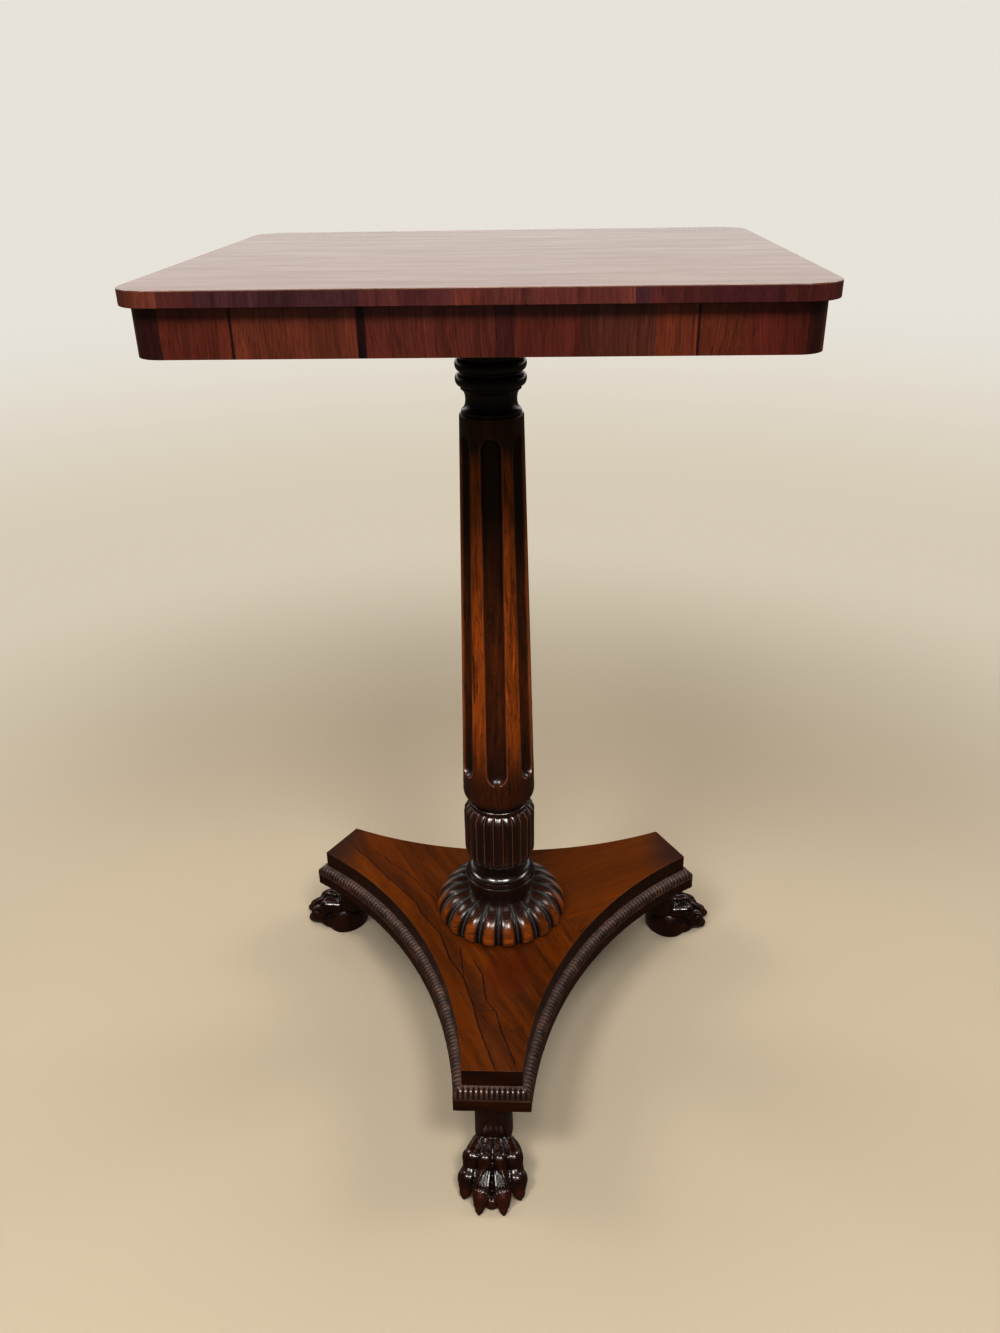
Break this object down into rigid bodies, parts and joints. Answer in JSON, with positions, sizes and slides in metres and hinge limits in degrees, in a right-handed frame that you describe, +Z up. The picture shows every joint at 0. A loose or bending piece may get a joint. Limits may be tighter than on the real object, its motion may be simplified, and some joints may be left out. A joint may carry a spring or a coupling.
{
  "type": "pedestal table",
  "caption": "Small rectangular pedestal table with a veneered frieze, a fluted pillar with reeded bulb and gadrooned dome, and a concave-sided plinth on carved paw feet.",
  "frame": {"origin": "on the floor, under the axis of the pillar", "axes": "+Z up along the pillar; +X to the right and -Y to the front, where one arm and one paw foot point"},
  "size_m": [0.4718, 0.46, 0.74],
  "materials": {
    "top_rosewood": "french polished, worn to a soft sheen",
    "edge_rosewood": "french polished cross-banded veneer",
    "frieze_rosewood": "french polished vertical-grain veneer",
    "shaft_rosewood": "french polished solid wood",
    "neck_ebonised": "near-black polished wood",
    "carved_rosewood": "dark polished carved wood",
    "dome_rosewood": "dark polished carved wood with lighter crests",
    "plinth_rosewood": "french polished figured veneer",
    "side_rosewood": "dark polished veneer",
    "base_rosewood": "dark polished edge",
    "bead_rosewood": "dark, slightly matt ribbed moulding",
    "paw_rosewood": "dark polished carved wood",
    "ground_pine": "bare aged softwood",
    "bearer_mahogany": "bare aged hardwood",
    "wedge_oak": "bare hardwood",
    "screw_iron": "dull iron"
  },
  "bodies": {
    "root": {"top_board": "ground_pine", "top_veneer": "top_rosewood", "slab_edge_banding": "edge_rosewood", "front_rail": "ground_pine", "back_rail": "ground_pine", "left_rail": "ground_pine", "right_rail": "ground_pine", "corner_block_front_left": "ground_pine", "corner_block_front_right": "ground_pine", "corner_block_back_left": "ground_pine", "corner_block_back_right": "ground_pine", "frieze_veneer": "frieze_rosewood", "glue_blocks": "ground_pine", "left_bearer": "bearer_mahogany", "right_bearer": "bearer_mahogany", "pillar_block": "bearer_mahogany", "bearer_screws": "screw_iron", "block_screws": "screw_iron", "neck_collar": "neck_ebonised", "tenon_wedge": "wedge_oak", "fluted_shaft": "shaft_rosewood", "reeded_bulb": "carved_rosewood", "ring_collar": "carved_rosewood", "gadrooned_dome": "dome_rosewood", "pillar_wedge": "wedge_oak", "plinth_top_veneer": "plinth_rosewood", "plinth_side_veneer": "side_rosewood", "plinth_core": "ground_pine", "plinth_base_board": "base_rosewood", "bead_left_side": "bead_rosewood", "bead_right_side": "bead_rosewood", "bead_back_side": "bead_rosewood", "bead_front_end": "bead_rosewood", "bead_left_end": "bead_rosewood", "bead_right_end": "bead_rosewood", "base_screws": "screw_iron", "front_paw": "paw_rosewood", "left_paw": "paw_rosewood", "right_paw": "paw_rosewood"}
  },
  "joints": []
}
